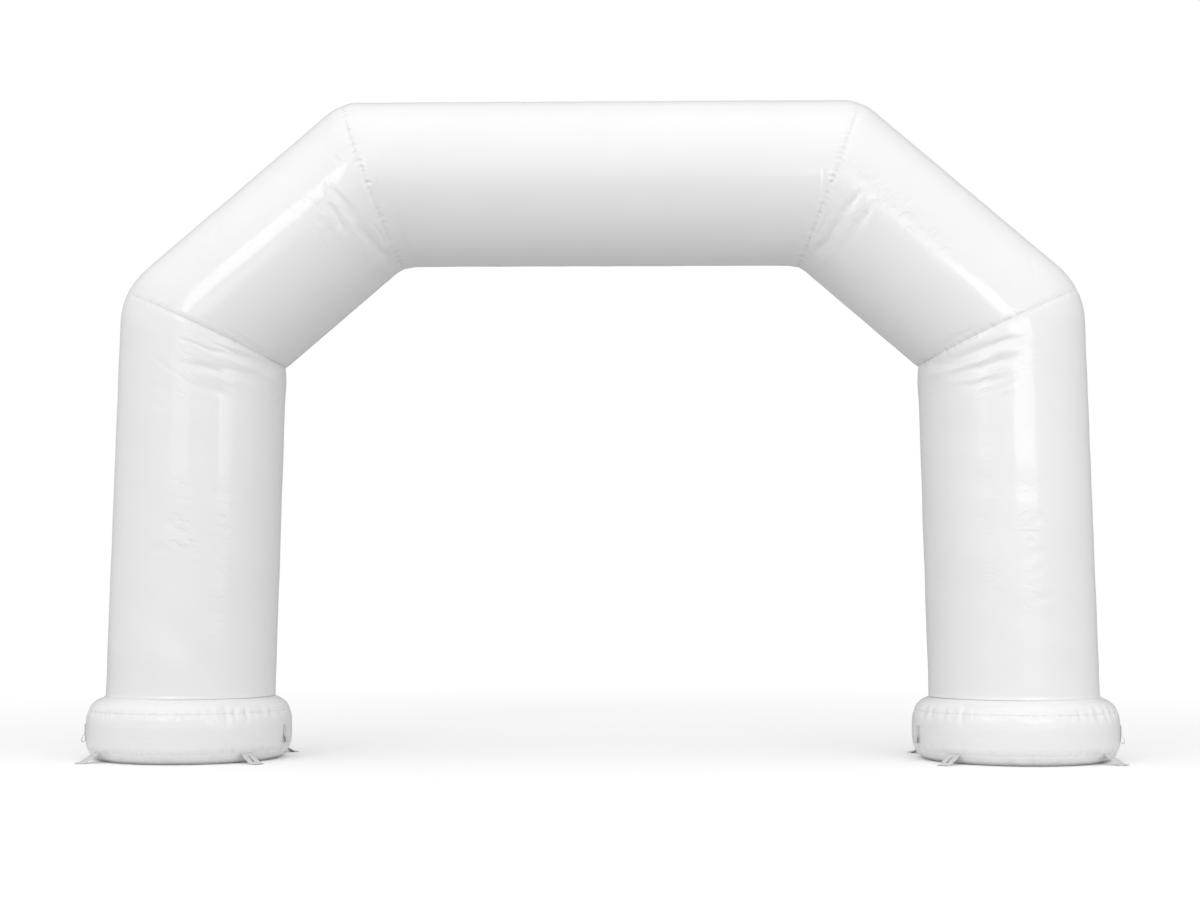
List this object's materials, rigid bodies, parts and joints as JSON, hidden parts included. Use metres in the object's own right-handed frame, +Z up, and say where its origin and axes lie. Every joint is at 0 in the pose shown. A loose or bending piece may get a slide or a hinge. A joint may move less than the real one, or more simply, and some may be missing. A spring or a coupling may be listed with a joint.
{
  "type": "inflatable arch",
  "caption": "White inflatable event arch: five mitred air tubes on two drum feet, with slotted ground tabs and side webbing loops for tying it down.",
  "frame": {"origin": "on the floor, midway between the two feet", "axes": "+Z up, X along the span of the arch, the front faces -Y"},
  "size_m": [6.1884, 1.214, 3.9801],
  "materials": {
    "coated_cloth": "glossy white coated cloth",
    "foot_cloth": "glossy white coated cloth, heavier",
    "webbing": "pale grey coated webbing"
  },
  "bodies": {
    "root": {"leg_left": "coated_cloth", "leg_right": "coated_cloth", "shoulder_left": "coated_cloth", "shoulder_right": "coated_cloth", "beam": "coated_cloth", "foot_left": "foot_cloth", "foot_right": "foot_cloth", "ground_tab_left_front_outer": "webbing", "ground_tab_left_front_inner": "webbing", "ground_tab_left_back_outer": "webbing", "ground_tab_left_back_inner": "webbing", "ground_tab_right_front_outer": "webbing", "ground_tab_right_front_inner": "webbing", "ground_tab_right_back_outer": "webbing", "ground_tab_right_back_inner": "webbing", "side_loop_left_outer": "webbing", "side_loop_left_inner": "webbing", "side_loop_right_outer": "webbing", "side_loop_right_inner": "webbing"}
  },
  "joints": []
}
